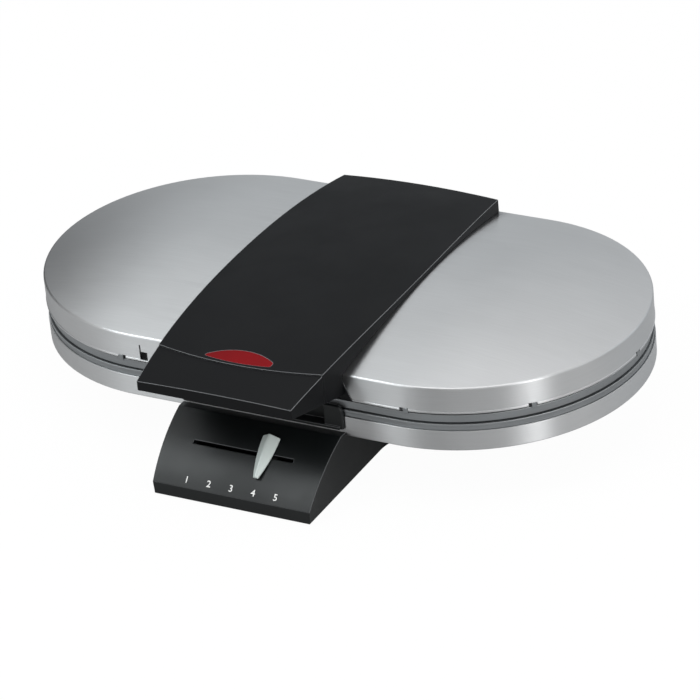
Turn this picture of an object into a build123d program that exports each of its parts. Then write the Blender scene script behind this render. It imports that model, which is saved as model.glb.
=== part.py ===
from build123d import *
from math import cos, hypot, radians, sin
import os

os.makedirs("parts", exist_ok=True)

# Double waffle iron, closed. +X is the long way, -Y the front with the grip, +Z up.
# The origin is on the table under the middle of the whole appliance. Most places are
# given from the middle of the housing, whose own origin lies housing_y behind it.

# Housing: two steel halves with the same long rounded outline
housing_length = 400.0
housing_width = 219.5
sheet = 0.8
edge_radius = 1.4
fit_gap = 0.3
seat_gap = 0.15

# Heights above the table
foot_drop = 1.0
pedestal_top = 36.1
lower_shell_height = 13.4
lower_flange = 4.4
parting_gap = 0.3
upper_flange = 6.3
rim_gap = 1.0
rim_height = 17.0
hem_height = 1.1
hem_proud = 0.25
rim_step = 0.8
parting_step = 0.6
step_depth = 1.6
lower_edge_radius = 1.0
dome_rise = 13.6

# Pedestal
pedestal_reach = 47.75
pedestal_rear_inset = 4.75
pedestal_front_width = 107.0
pedestal_rear_width = 170.0
flare_inset = 43.75
pedestal_wall = 2.5
pedestal_draft = 4.0
corner_radius = 6.0
kick_height = 9.0
panel_top_reach = 5.75
panel_top_z = 38.7
panel_bulge = 3.4
floor_thickness = 2.5

# Slider on the sloped panel
slot_length = 69.0
scale_shift = -1.1
slot_width = 2.5
slot_corner = 0.5
slot_height = 28.5
scale_pitch = 15.3
scale_marks = 5
shown_mark = 4
knob_length = 28.3
knob_width = 12.0
knob_proud = 5.3
knob_foot = 0.5
knob_waist = 0.84
knob_tip_width = 3.6
knob_ridge = 1.4
knob_axis_height = 0.8
neck_gap = 0.2
knob_above_slot = 12.3
carriage_width = 12.0
carriage_height = 14.0
carriage_thickness = 2.0
rail_thickness = 2.0
rail_height = 20.0
rail_length = 90.0
rail_window_height = 11.5
rail_window_drop = 2.2
rail_boss_radius = 3.0
rail_boss_inset = 4.0
arm_width = 5.0
arm_low = 20.4
arm_thickness = 3.6
arm_setback = 2.0
nose_reach = 11.25
ramp_slope = 0.08
ramp_length = 76.0
ramp_thickness = 6.0
ramp_height = 7.0
stem_radius = 3.0
stem_length = 13.0
running_gap = 0.05
thermostat_size = (26.0, 20.0, 19.0)
bushing_length = 4.0
bushing_radius = 5.0
bracket_ear = 8.0

# Feet, bosses and screws
foot_radius = 6.0
foot_height = 2.5
screw_radius = 1.5
head_radius = 3.2
head_height = 1.8
head_chamfer = 0.5
boss_radius = 4.0
boss_inset = 13.0
boss_side_inset = 11.0
front_boss_x = 44.0
middle_boss_y = -20.0
foot_setback = 14.5
front_foot_x = 28.0
foot_inset = 16.0
shell_screw_x = 58.0
shell_screw_rows = (-10.0, 70.0)
floor_screw_length = 9.0
floor_hole_depth = 12.0
plate_screw_length = 8.0
grip_screw_length = 9.0
hinge_screw_length = 8.0
hinge_screw_x = 37.0
hinge_screw_z = 42.0
grip_screw_x = 30.0
grip_screw_z = 73.0
frame_screw_inset = 18.25
arm_screw_x = 14.0
wire_hole = (44.0, 18.0)

# Heart waffle fields
field_end_margin = 11.25
field_rim_margin = 30.75
heart_count = 5
lobe_share = 0.2418
lobe_overlap = 0.86
separator_half = 1.5
cavity_depth = 7.0
separator_drop = 2.4
stud_drop = 3.1
stud_size = 7.0
stud_pitch = 12.2
drum_margin = 5.0
plate_wall = 3.5
lip_height = 1.6
lip_inset = 0.5
flange_inset = 1.7
lower_flange_inset = 0.95
plate_split = 0.6
plate_screw_inset = 13.25
plate_screw_angles = (-84.0, -36.0, 36.0, 84.0)
lug_width = 3.2
lug_depth = 2.2
lug_rise = 1.7
lug_gap = 0.15
lug_notch = 2.1
lug_angles = (-45.0, 0.0, 45.0)
lug_straight_reach = 7.9

# Heaters and reflector sheets
heater_radius = 56.0
heater_width = 6.0
heater_height = 4.8
heater_sweep = 300.0
terminal_length = 9.0
reflector_thickness = 0.5
reflector_inset = 6.0

# Front bridge between the halves, and the black frame behind the lid's rim
bridge_half = 56.0
bridge_reach = 2.25
bridge_low = 41.5
bridge_high = 57.0
bridge_inset = 6.75
bridge_lip = 1.8
bridge_lip_reach = 1.2
bridge_shoulder = 4.5
bridge_edge = 1.2
scoop_half = 43.5
scoop_depth = 6.0
rim_cut_top = 56.3
rim_cut_bottom = 63.6
frame_inset = 10.75
rim_notch_inset = 9.05
rim_notch_width = 5.2
rim_notch_height = 5.7
rim_notch_low = 62.3
rim_slit_width = 0.8
rim_slit_height = 4.6

# Black band over the lid: barrel in plan, arched along Y
grip_reach = 53.9
band_rear_inset = 2.35
band_front_half = 52.4
band_middle_half = 61.3
band_rear_half = 55.2
band_middle_y = -22.0
band_front_z = 82.8
band_shoulder_inset = 5.75
band_shoulder_z = 91.2
band_peak_y = -20.0
band_peak_z = 94.6
rear_shoulder_inset = 53.75
band_rear_shoulder_z = 92.9
band_rear_z = 87.3
band_crown = 1.2
band_rear_shoulder_crown = 1.5
band_rear_crown = 2.7
band_screw_x = 40.0
band_screw_inset = 49.75
band_screw_length = 5.0
band_wall = 2.0
grip_tip_thickness = 6.5
grip_root_z = 65.2
grip_step = 0.7
seam_middle_reach = 26.85
seam_side_reach = 20.45
seam_side_x = 54.0
seam_gap = 0.3
lens_left = -22.4
lens_right = 22.2
lens_depth = 12.2
lens_left_depth = 1.6
lens_right_depth = 4.0
lens_bow = 2.0
lens_seam_distance = 2.3
lens_thickness = 3.0
lens_corner = 1.8
lens_left_corner = 0.6
lamp_radius = 3.0
lamp_length = 20.0
lamp_setback = 12.5
lamp_z = 81.0

# Hinge behind the housing
hinge_reach = 8.25
hinge_z = 54.0
hinge_barrel = 6.0
hinge_pin_radius = 2.5
ear_inner = 20.0
ear_width = 6.0
arm_bar_width = 21.4
hinge_block_top = 47.4
arm_frame_half = 55.0
arm_frame_inset = 12.75
arm_bar_top = 61.1

# Cord gland and wiring
gland_bore = 3.6
gland_radius = 5.4
gland_flange = 7.5
gland_length = 18.0
gland_flange_depth = 2.5
gland_height = 17.0
terminal_size = (34.0, 16.0, 13.0)
terminal_y = 55.0
terminal_pitch = 11.0
terminal_hole = 2.2
fuse_y = -20.0
fuse_radius = 2.4
fuse_length = 22.0

# Worked out from the sizes above
half_width = housing_width / 2
half_straight = (housing_length - housing_width) / 2
pedestal_front = half_width + pedestal_reach
pedestal_rear = half_width - pedestal_rear_inset
flare_start = -(half_width - flare_inset)
panel_top_y = -(half_width + panel_top_reach)
nose_y = -(half_width + nose_reach)
bridge_front = half_width + bridge_reach
bridge_back = half_width - bridge_inset
frame_back = half_width - frame_inset
band_front = half_width + grip_reach
band_rear = half_width - band_rear_inset
band_shoulder_y = -(half_width - band_shoulder_inset)
band_rear_shoulder_y = half_width - rear_shoulder_inset
band_screw_y = half_width - band_screw_inset
seam_middle = half_width + seam_middle_reach
seam_side = half_width + seam_side_reach
hinge_y = half_width + hinge_reach
arm_frame_front = half_width - arm_frame_inset
plate_screw_circle = half_width - plate_screw_inset
lug_straight_x = half_straight + lug_straight_reach
frame_screw_x = half_straight - frame_screw_inset
rim_notch_x = rim_notch_inset - half_straight
shell_top = pedestal_top + lower_shell_height
parting = shell_top + lower_flange
upper_low = parting + parting_gap
upper_top = upper_low + upper_flange
rim_low = upper_top + rim_gap
crease_z = rim_low + rim_height
peak_z = crease_z + dome_rise
rear_reach = hinge_y + hinge_barrel
housing_y = (band_front - rear_reach) / 2
knob_x = scale_shift + (shown_mark - (scale_marks + 1) / 2) * scale_pitch
slider_half_travel = (scale_marks - 1) / 2 * scale_pitch
floor_top = foot_drop + floor_thickness
under_all = 40.0
below_grip = 20.0
over_all = 80.0


def level(z):
    """Horizontal plane at height z with its origin under the housing's middle."""
    return Plane(origin=(0, housing_y, z))


def side(x=0.0):
    """Upright plane across X, with local x along +Y from the housing's middle and y up."""
    return Plane(origin=(x, housing_y, 0), x_dir=(0, 1, 0), z_dir=(1, 0, 0))


def save(piece, name):
    piece.label = name
    export_step(piece, f"parts/{name}.step")


def stadium(inset):
    """Long rounded outline of the housing drawn in by inset."""
    with BuildSketch() as outline:
        SlotOverall(housing_length - 2 * inset, housing_width - 2 * inset)
    return outline.sketch


def lid_form(inset, low):
    """The lid's outer form drawn in by inset: a vertical rim under a shallow dome."""
    reach = half_width - inset
    with BuildSketch() as half_profile:
        with BuildLine():
            arc = TangentArc((0, peak_z - inset), (reach, crease_z - inset), tangent=(1, 0))
            Polyline(arc @ 1, (reach, low), (0, low), arc @ 0)
        make_face()
        crease = half_profile.vertices().sort_by(Axis.X)[-2:].sort_by(Axis.Y)[-1]
        fillet(crease, max(edge_radius - inset, 0.4))
    with BuildPart() as form:
        with BuildSketch(side(-half_straight)):
            add(half_profile.sketch)
            mirror(about=Plane.YZ)
        extrude(amount=2 * half_straight)
        for end in (-1, 1):
            turn = Plane(origin=(end * half_straight, housing_y, 0), x_dir=(0, 1, 0), z_dir=(1, 0, 0))
            with BuildSketch(turn):
                add(half_profile.sketch)
            revolve(axis=Axis((end * half_straight, housing_y, 0), (0, 0, 1)))
    return form.part


def front(y):
    """Upright plane facing the front at y from the housing's middle, local axes X and Z."""
    return Plane(origin=(0, housing_y + y, 0), x_dir=(1, 0, 0), z_dir=(0, -1, 0))


def screws(plane, places, way, length):
    """Pan head screws: the heads sit on plane, the shanks run along its normal times way."""
    with BuildPart() as group:
        with BuildSketch(plane):
            with Locations(*places):
                Circle(screw_radius)
        extrude(amount=way * length)
        with BuildSketch(plane):
            with Locations(*places):
                Circle(head_radius)
        extrude(amount=-way * head_height)
        rims = group.edges().filter_by(GeomType.CIRCLE)
        outer_rims = rims.sort_by(Axis(plane.origin, plane.z_dir * way))[: len(places)]
        chamfer(outer_rims, head_chamfer)
    return group.part


# Pedestal: a draughted black shell with a sloped panel in front and a wider rear foot
panel_run = panel_top_y + pedestal_front
panel_rise = panel_top_z - kick_height
panel_chord = hypot(panel_run, panel_rise)
panel_radius = (panel_chord**2 / 4 + panel_bulge**2) / (2 * panel_bulge)
panel_sagitta = panel_radius - panel_bulge
panel_centre_y = (panel_top_y - pedestal_front) / 2 + panel_sagitta * panel_rise / panel_chord
panel_centre_z = (panel_top_z + kick_height) / 2 - panel_sagitta * panel_run / panel_chord
housing_front = -half_width


def panel_point(z, inset=0.0):
    """Place (y, z) on the curved panel, or on its inner skin, at height z."""
    radius = panel_radius - inset
    return (panel_centre_y - (radius**2 - (z - panel_centre_z) ** 2) ** 0.5, z)


slot_y = panel_point(slot_height)[0]
panel_normal = ((slot_y - panel_centre_y) / panel_radius, (slot_height - panel_centre_z) / panel_radius)


def panel(depth=0.0, x=0.0):
    """Plane along the panel at the slot, depth inside it, local x along X and y up the slope."""
    return Plane(
        origin=(x, housing_y + slot_y - depth * panel_normal[0], slot_height - depth * panel_normal[1]),
        x_dir=(1, 0, 0),
        z_dir=(0, *panel_normal),
    )


def pedestal_outline(inset):
    """Plan outline at the foot: narrow in front, flaring to the wide rear foot."""
    narrow = pedestal_front_width / 2
    wide = pedestal_rear_width / 2
    flare_end = flare_start + wide - narrow
    with BuildSketch() as outline:
        with BuildLine():
            front_side = Line((narrow, -pedestal_front), (narrow, flare_start))
            flare = TangentArc(front_side @ 1, (wide, flare_end), tangent=(0, 1))
            Polyline(flare @ 1, (wide, pedestal_rear), (0, pedestal_rear))
            Line((0, -pedestal_front), front_side @ 0)
            mirror(about=Plane.YZ)
        make_face()
        rear_corners = outline.vertices().filter_by(lambda v: abs(v.X) > wide - 1)
        fillet(rear_corners, corner_radius)
        if inset:
            offset(amount=-inset)
    return outline.sketch


def pedestal_form(inset, low):
    """Solid pedestal drawn in by inset on every side but the bottom."""
    top = pedestal_top - inset
    kick_run = pedestal_front - inset + panel_centre_y
    kick_top = panel_centre_z + ((panel_radius - inset) ** 2 - kick_run**2) ** 0.5
    foot = (-pedestal_front + inset, kick_top)
    back = pedestal_rear * 2
    step = [(housing_front - fit_gap, panel_top_z), (housing_front - fit_gap, top)]
    crest = panel_point(top, inset) if inset else (panel_top_y, panel_top_z)
    middle = panel_point((kick_top + crest[1]) / 2, inset)
    outline = [crest, *([] if inset else step), (back, top), (back, low), (foot[0], low), foot]
    with BuildPart() as form:
        with BuildSketch(level(low)):
            add(pedestal_outline(inset))
        extrude(amount=panel_top_z + 5, taper=-pedestal_draft)
        with BuildSketch(side()):
            with BuildLine():
                ThreePointArc(foot, middle, crest)
                Polyline(*outline)
            make_face()
        extrude(amount=housing_length, both=True, mode=Mode.INTERSECT)
    return form.part


wide_x = pedestal_rear_width / 2 - boss_side_inset
rear_boss_y = pedestal_rear - boss_inset
front_boss_y = panel_top_y + boss_inset - boss_radius
floor_screw_places = [(x, front_boss_y) for x in (-front_boss_x, front_boss_x)] + [
    (x, y) for x in (-wide_x, wide_x) for y in (middle_boss_y, rear_boss_y)
]
foot_places = [(x, foot_setback - pedestal_front) for x in (-front_foot_x, front_foot_x)] + [
    (x, rear_boss_y) for x in (foot_inset - wide_x, wide_x - foot_inset)
]
shell_screw_places = [(x, y) for x in (-shell_screw_x, shell_screw_x) for y in shell_screw_rows]
plate_screw_spots = [
    (end * (half_straight + plate_screw_circle * cos(radians(a))), plate_screw_circle * sin(radians(a)))
    for end in (-1, 1)
    for a in plate_screw_angles
]

with BuildPart() as hollow:
    add(pedestal_form(pedestal_wall, foot_drop - 1))
    with BuildSketch(level(floor_top)):
        with Locations(*floor_screw_places):
            Circle(boss_radius)
    extrude(amount=panel_top_z, mode=Mode.SUBTRACT)

with BuildPart() as base_pedestal:
    add(pedestal_form(0, foot_drop))
    add(hollow.part, mode=Mode.SUBTRACT)
    with BuildSketch(level(foot_drop)):
        with Locations(*floor_screw_places):
            Circle(screw_radius + running_gap)
    extrude(amount=floor_hole_depth, mode=Mode.SUBTRACT)
    with BuildSketch(level(pedestal_top)):
        SlotOverall(*wire_hole)
        with Locations(*shell_screw_places):
            Circle(screw_radius + running_gap)
        with Locations(*plate_screw_spots):
            Circle(head_radius + fit_gap)
    extrude(amount=-pedestal_wall - 1, mode=Mode.SUBTRACT)
    with BuildSketch(panel(0, scale_shift)):
        RectangleRounded(slot_length, slot_width, slot_corner)
    extrude(amount=pedestal_wall + 2, both=True, mode=Mode.SUBTRACT)
    gland_wall = pedestal_rear + 4
    with BuildSketch(front(gland_wall)):
        with Locations((0, gland_height)):
            Circle(gland_radius + running_gap)
    extrude(amount=10, mode=Mode.SUBTRACT)
save(base_pedestal.part, "base_pedestal")

with BuildPart() as base_floor:
    with BuildSketch(level(foot_drop)):
        add(pedestal_outline(pedestal_wall + fit_gap))
    extrude(amount=floor_thickness)
    with BuildSketch(level(foot_drop)):
        with Locations(*foot_places):
            Circle(foot_radius + seat_gap)
    extrude(amount=foot_height - foot_drop, mode=Mode.SUBTRACT)
    with BuildSketch(level(foot_drop)):
        with Locations(*floor_screw_places):
            Circle(head_radius + seat_gap)
    extrude(amount=head_height + 0.1, mode=Mode.SUBTRACT)
    with BuildSketch(level(foot_drop)):
        with Locations(*floor_screw_places):
            Circle(screw_radius + running_gap)
    extrude(amount=floor_thickness, mode=Mode.SUBTRACT)
save(base_floor.part, "base_floor")

with BuildPart() as rubber_feet:
    with BuildSketch(level(0)):
        with Locations(*foot_places):
            Circle(foot_radius)
    extrude(amount=foot_height)
    chamfer(rubber_feet.edges().group_by(Axis.Z)[0], 0.4)
save(rubber_feet.part, "rubber_feet")
floor_screw_seat = level(foot_drop + head_height + 0.1)
save(screws(floor_screw_seat, floor_screw_places, 1, floor_screw_length), "floor_screws")

# Lower half: steel tray with the two lower plates on its rim
reflector_low = pedestal_top + sheet + 0.4
reflector_top = reflector_low + reflector_thickness
drum_low = parting - cavity_depth - plate_wall
field_radius = min(half_straight - field_end_margin, half_width - field_rim_margin)
lobe_radius = lobe_share * field_radius
drum_radius = field_radius + drum_margin
bridge_opening = bridge_half + seat_gap
hinge_screw_places = [(x, hinge_screw_z) for x in (-hinge_screw_x, 0, hinge_screw_x)]

with BuildPart() as lower_shell:
    with BuildSketch(level(pedestal_top)):
        add(stadium(0))
    extrude(amount=lower_shell_height)
    fillet(lower_shell.edges().group_by(Axis.Z)[0], lower_edge_radius)
    with BuildSketch(level(pedestal_top + sheet)):
        add(stadium(sheet))
    extrude(amount=lower_shell_height, mode=Mode.SUBTRACT)
    with BuildSketch(level(pedestal_top)):
        SlotOverall(*wire_hole)
        with Locations(*shell_screw_places, *plate_screw_spots):
            Circle(screw_radius + running_gap)
    extrude(amount=sheet, mode=Mode.SUBTRACT)
    with BuildSketch(front(-bridge_front)):
        with Locations((0, bridge_low - seat_gap)):
            Rectangle(2 * bridge_opening, lower_shell_height, align=(Align.CENTER, Align.MIN))
    extrude(amount=-(bridge_front - bridge_back), mode=Mode.SUBTRACT)
    with BuildSketch(front(half_width - 2)):
        with Locations(*hinge_screw_places):
            Circle(screw_radius + running_gap)
    extrude(amount=-4, mode=Mode.SUBTRACT)
save(lower_shell.part, "lower_shell")
shell_screw_length = pedestal_wall + sheet + 0.2
save(screws(front(half_width - sheet), hinge_screw_places, -1, hinge_screw_length), "hinge_screws")
save(screws(level(pedestal_top - pedestal_wall), shell_screw_places, 1, shell_screw_length), "shell_screws")

with BuildPart() as front_bridge:
    with BuildSketch(side()):
        with BuildLine():
            Polyline(
                (-bridge_front, bridge_low),
                (-bridge_back, bridge_low),
                (-bridge_back, parting - 0.2),
                (-half_width - fit_gap, parting - 0.2),
                (-half_width - fit_gap, bridge_high),
                (-bridge_front, bridge_high),
                (-bridge_front, bridge_low),
            )
        make_face()
    extrude(amount=bridge_half, both=True)
    fillet(front_bridge.edges().filter_by(Axis.Y).group_by(Axis.Z)[-1], bridge_shoulder)
    front_edges = front_bridge.faces().sort_by(Axis.Y)[0].edges()
    fillet(front_edges.filter_by(lambda e: e.center().Z > bridge_low + 1), bridge_edge)
    with BuildSketch(front(-bridge_front)):
        with Locations((0, bridge_low + bridge_lip)):
            Rectangle(2 * scoop_half, bridge_high, align=(Align.CENTER, Align.MIN))
    extrude(amount=-scoop_depth, mode=Mode.SUBTRACT)
    with BuildSketch(level(bridge_low)):
        with Locations((0, -bridge_front)):
            Rectangle(2 * bridge_half - 4, 2 * bridge_lip_reach)
    extrude(amount=bridge_lip)
save(front_bridge.part, "front_bridge")

# Heart fields: five hearts round the middle of each plate with low walls between them
sector = 180.0 / heart_count
lobe_v = lobe_overlap * lobe_radius
lobe_u = (separator_half + lobe_radius + lobe_v * cos(radians(sector))) / sin(radians(sector))
tangent_reach = lobe_u * cos(radians(sector)) + lobe_v * sin(radians(sector))
side_foot = (
    lobe_u - lobe_radius * sin(radians(sector)),
    lobe_v + lobe_radius * cos(radians(sector)),
)
cleft_u = lobe_u + (lobe_radius**2 - lobe_v**2) ** 0.5


def heart_face():
    """One heart with its tip at the field's middle and its two lobes outwards along local x."""
    with BuildSketch() as heart:
        with BuildLine():
            flank = Line((separator_half / sin(radians(sector)), 0), side_foot)
            lobe_top = (
                lobe_u + lobe_radius * cos(radians(45)),
                lobe_v + lobe_radius * sin(radians(45)),
            )
            ThreePointArc(flank @ 1, lobe_top, (cleft_u, 0))
            mirror(about=Plane.XZ)
        make_face()
    return heart.sketch


def in_heart(u, v, margin):
    """True where the place (u, v) lies inside the heart by at least margin."""
    v = abs(v)
    clear_of_flank = u * sin(radians(sector)) - v * cos(radians(sector)) > separator_half + margin
    in_lobe = hypot(u - lobe_u, v - lobe_v) < lobe_radius - margin
    along_flank = u * cos(radians(sector)) + v * sin(radians(sector))
    before_lobe = along_flank < tangent_reach or (u < lobe_u and v < lobe_v)
    return clear_of_flank and (in_lobe or before_lobe)


def stud_places():
    """Grid of stud middles whose corners all stay inside the heart."""
    half = stud_size / 2
    places = []
    for row in range(8):
        for column in range(-3, 4):
            u = 15.0 + row * stud_pitch
            v = column * stud_pitch
            corners = [(u + i * half, v + j * half) for i in (-1, 1) for j in (-1, 1)]
            if all(in_heart(a, b, 1.5) for a, b in corners):
                places.append((u, v))
    return places


def rim_tabs(end, reach, depth, width, shift):
    """Plan of the tabs round one end, each moved by shift along the rim towards the band."""
    with BuildSketch() as tabs:
        for angle in lug_angles:
            with Locations((half_straight, 0)):
                with PolarLocations(0, 1, start_angle=angle):
                    with Locations((reach, shift if angle > 0 else -shift)):
                        Rectangle(depth, width, align=(Align.MAX, Align.CENTER))
        for edge in (-1, 1):
            with Locations((lug_straight_x - shift, edge * reach)):
                Rectangle(width, depth, align=(Align.CENTER, Align.MAX if edge > 0 else Align.MIN))
        if end < 0:
            mirror(about=Plane.YZ, mode=Mode.REPLACE)
    return tabs.sketch


def waffle_plate(end, upper):
    """Die-cast plate of one side: flange, drum with the sunk heart field, screw bosses."""
    way = 1 if upper else -1
    face = upper_low if upper else parting
    flange = upper_flange if upper else lower_flange
    boss_end = upper_reflector_low if upper else reflector_top
    disc_x = end * half_straight
    stepped_inset = flange_inset + step_depth
    layers = [(0, flange, lower_flange_inset)]
    if upper:
        layers = [
            (0, parting_step, stepped_inset),
            (parting_step, flange - rim_step, flange_inset),
            (flange - rim_step, flange, stepped_inset),
        ]

    def at(depth):
        return level(face + way * depth)

    def half_stadium(inset):
        with BuildSketch() as outline:
            add(stadium(inset))
            with Locations((end * plate_split / 2, 0)):
                align = (Align.MIN if end > 0 else Align.MAX, Align.CENTER)
                Rectangle(housing_length, housing_length, align=align, mode=Mode.INTERSECT)
        return outline.sketch

    def disc_plane(depth):
        return Plane(
            origin=(disc_x, housing_y, face + way * depth), x_dir=(end, 0, 0), z_dir=(0, 0, 1)
        )

    with BuildPart() as plate:
        for low, high, inset in layers:
            with BuildSketch(at(low)):
                add(half_stadium(inset))
            extrude(amount=way * (high - low))
        if not upper:
            with BuildSketch(at(0)):
                add(half_stadium(lip_inset))
            extrude(amount=way * lip_height)
        with BuildSketch(disc_plane(0)):
            Circle(drum_radius)
        extrude(amount=way * (cavity_depth + plate_wall))
        with BuildSketch(disc_plane(flange)):
            for angle in plate_screw_angles:
                with Locations(
                    (plate_screw_circle * cos(radians(angle)), plate_screw_circle * sin(radians(angle)))
                ):
                    Circle(boss_radius)
        extrude(amount=boss_end - (face + way * flange))
        with BuildSketch(at(flange)):
            with Locations(*plate_screw_spots):
                Circle(screw_radius + running_gap)
        extrude(amount=boss_end - (face + way * flange), mode=Mode.SUBTRACT)
        with BuildSketch(disc_plane(0)):
            with PolarLocations(0, heart_count, start_angle=sector):
                Rectangle(tangent_reach, 2 * separator_half + 0.2, align=(Align.MIN, Align.CENTER))
        extrude(amount=way * separator_drop, mode=Mode.SUBTRACT)
        with BuildSketch(disc_plane(0)):
            with PolarLocations(0, heart_count):
                add(heart_face())
        extrude(amount=way * cavity_depth, mode=Mode.SUBTRACT)
        with BuildSketch(disc_plane(cavity_depth)):
            with PolarLocations(0, heart_count):
                with Locations(*stud_places()):
                    Rectangle(stud_size, stud_size)
        extrude(amount=-way * (cavity_depth - stud_drop))
        if upper:
            with BuildSketch(at(flange - rim_step)):
                add(rim_tabs(end, half_width - lug_gap, lug_depth, lug_width, 0))
            extrude(amount=rim_step + rim_gap + lug_rise)
            with BuildSketch(at(0)):
                for x in (-1, 1):
                    with Locations((x * arm_middle_x, half_width)):
                        Rectangle(arm_bar_width + 2 * fit_gap, 2 * (half_width - arm_frame_front + fit_gap))
            extrude(amount=way * flange, mode=Mode.SUBTRACT)
            with BuildSketch(at(flange)):
                with Locations(*frame_screw_places):
                    Circle(screw_radius + running_gap)
            extrude(amount=-(flange - 2), mode=Mode.SUBTRACT)
        else:
            with BuildSketch(at(0)):
                with Locations((0, -half_width)):
                    Rectangle(2 * bridge_opening, 2 * (half_width - bridge_back + seat_gap))
            extrude(amount=way * flange, mode=Mode.SUBTRACT)
    return plate.part


frame_low = upper_top + fit_gap
frame_top = crease_z - sheet - 1.1
frame_screw_y = half_width - (frame_inset + sheet) / 2 - 1.5
frame_screw_places = [(x, -frame_screw_y) for x in (-frame_screw_x, frame_screw_x)] + [
    (x, frame_screw_y) for x in (-arm_screw_x, arm_screw_x)
]
frame_screw_length = frame_top - upper_low - 2.5
upper_drum_top = upper_low + cavity_depth + plate_wall
upper_reflector_low = upper_drum_top + heater_height + 0.8
arm_middle_x = ear_inner + ear_width + fit_gap + arm_bar_width / 2

save(waffle_plate(-1, upper=False), "lower_plate_left")
save(waffle_plate(1, upper=False), "lower_plate_right")
save(waffle_plate(-1, upper=True), "upper_plate_left")
save(waffle_plate(1, upper=True), "upper_plate_right")


def heater(end, low):
    """Flattened tubular heater: an open ring against the plate's drum with two terminals."""
    gap = (360 - heater_sweep) / 2
    with BuildPart() as ring:
        plane = Plane(origin=(end * half_straight, housing_y, low), x_dir=(-end, 0, 0), z_dir=(0, 0, 1))
        with BuildSketch(plane):
            Circle(heater_radius + heater_width / 2)
            Circle(heater_radius - heater_width / 2, mode=Mode.SUBTRACT)
            with BuildLine():
                reach = 2 * heater_radius
                Polyline(
                    (0, 0),
                    (reach * cos(radians(gap)), -reach * sin(radians(gap))),
                    (reach * cos(radians(gap)), reach * sin(radians(gap))),
                    (0, 0),
                )
            make_face(mode=Mode.SUBTRACT)
        extrude(amount=heater_height)
        with BuildSketch(plane.offset(heater_height / 2 - 1.5)):
            for edge in (-1, 1):
                place = (heater_radius * cos(radians(gap)), edge * heater_radius * sin(radians(gap)))
                with Locations(place):
                    Rectangle(terminal_length, 3.0, align=(Align.MIN, Align.CENTER))
        extrude(amount=3.0)
    return ring.part


lower_heater_low = drum_low - heater_height
save(heater(-1, lower_heater_low), "lower_heater_left")
save(heater(1, lower_heater_low), "lower_heater_right")
save(heater(-1, upper_drum_top), "upper_heater_left")
save(heater(1, upper_drum_top), "upper_heater_right")

with BuildPart() as lower_reflector:
    with BuildSketch(level(reflector_low)):
        add(stadium(reflector_inset))
        SlotOverall(*wire_hole, mode=Mode.SUBTRACT)
        with Locations(*plate_screw_spots):
            Circle(screw_radius + running_gap, mode=Mode.SUBTRACT)
    extrude(amount=reflector_thickness)
save(lower_reflector.part, "lower_reflector")
save(screws(level(pedestal_top), plate_screw_spots, 1, plate_screw_length), "lower_plate_screws")

with BuildPart() as upper_reflector:
    with BuildSketch(level(upper_reflector_low)):
        add(stadium(reflector_inset))
        with Locations(*plate_screw_spots):
            Circle(screw_radius + running_gap, mode=Mode.SUBTRACT)
        for edge in (-1, 1):
            with Locations((0, edge * half_width)):
                relief = 2 * (half_width - arm_frame_front + 2)
                Rectangle(2 * (half_straight - 2), relief, mode=Mode.SUBTRACT)
    extrude(amount=reflector_thickness)
save(upper_reflector.part, "upper_reflector")
upper_screw_seat = level(upper_reflector_low + reflector_thickness)
save(screws(upper_screw_seat, plate_screw_spots, -1, plate_screw_length), "upper_plate_screws")

# Lid: drawn steel shell with a cut-out behind the grip, filled by the black front frame
rim_cut_high = crease_z - edge_radius
band_screw_places = [(x, y) for x in (-band_screw_x, band_screw_x) for y in (-band_screw_y, band_screw_y)]
dome_radius = (half_width**2 + dome_rise**2) / (2 * dome_rise)
band_screw_seat = peak_z - dome_radius + (dome_radius**2 - band_screw_y**2) ** 0.5 - sheet - 0.9

with BuildPart() as lid_shell:
    add(lid_form(0, rim_low))
    add(lid_form(sheet, rim_low - 1), mode=Mode.SUBTRACT)
    with BuildSketch(level(rim_low)):
        add(stadium(-hem_proud))
        add(stadium(sheet), mode=Mode.SUBTRACT)
    extrude(amount=hem_height)
    with BuildSketch(level(rim_low)):
        with Locations(*band_screw_places):
            Circle(screw_radius + running_gap)
    extrude(amount=over_all, mode=Mode.SUBTRACT)
    with BuildSketch(front(-half_width - 2)):
        with BuildLine():
            Polyline(
                (-rim_cut_bottom, rim_low - 1),
                (rim_cut_bottom, rim_low - 1),
                (rim_cut_top, rim_cut_high),
                (-rim_cut_top, rim_cut_high),
                (-rim_cut_bottom, rim_low - 1),
            )
        make_face()
        with Locations((rim_notch_x, rim_notch_low)):
            Rectangle(rim_notch_width, rim_notch_height, align=(Align.CENTER, Align.MIN))
        with Locations((rim_notch_x - rim_notch_width / 2, rim_notch_low)):
            Rectangle(rim_slit_width, rim_notch_height + rim_slit_height, align=(Align.MIN, Align.MIN))
    extrude(amount=-(sheet + 3), mode=Mode.SUBTRACT)
    with BuildSketch(level(rim_low)):
        notch_width = lug_width + lug_notch + lug_gap
        for end in (-1, 1):
            add(rim_tabs(end, half_width + 1, sheet + 2, notch_width, (lug_notch - lug_gap) / 2))
    extrude(amount=lug_rise + lug_gap, mode=Mode.SUBTRACT)
save(lid_shell.part, "lid_shell")

grip_screw_places = [(x, grip_screw_z) for x in (-grip_screw_x, grip_screw_x)]
inner_front = half_width - sheet - 0.2

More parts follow.
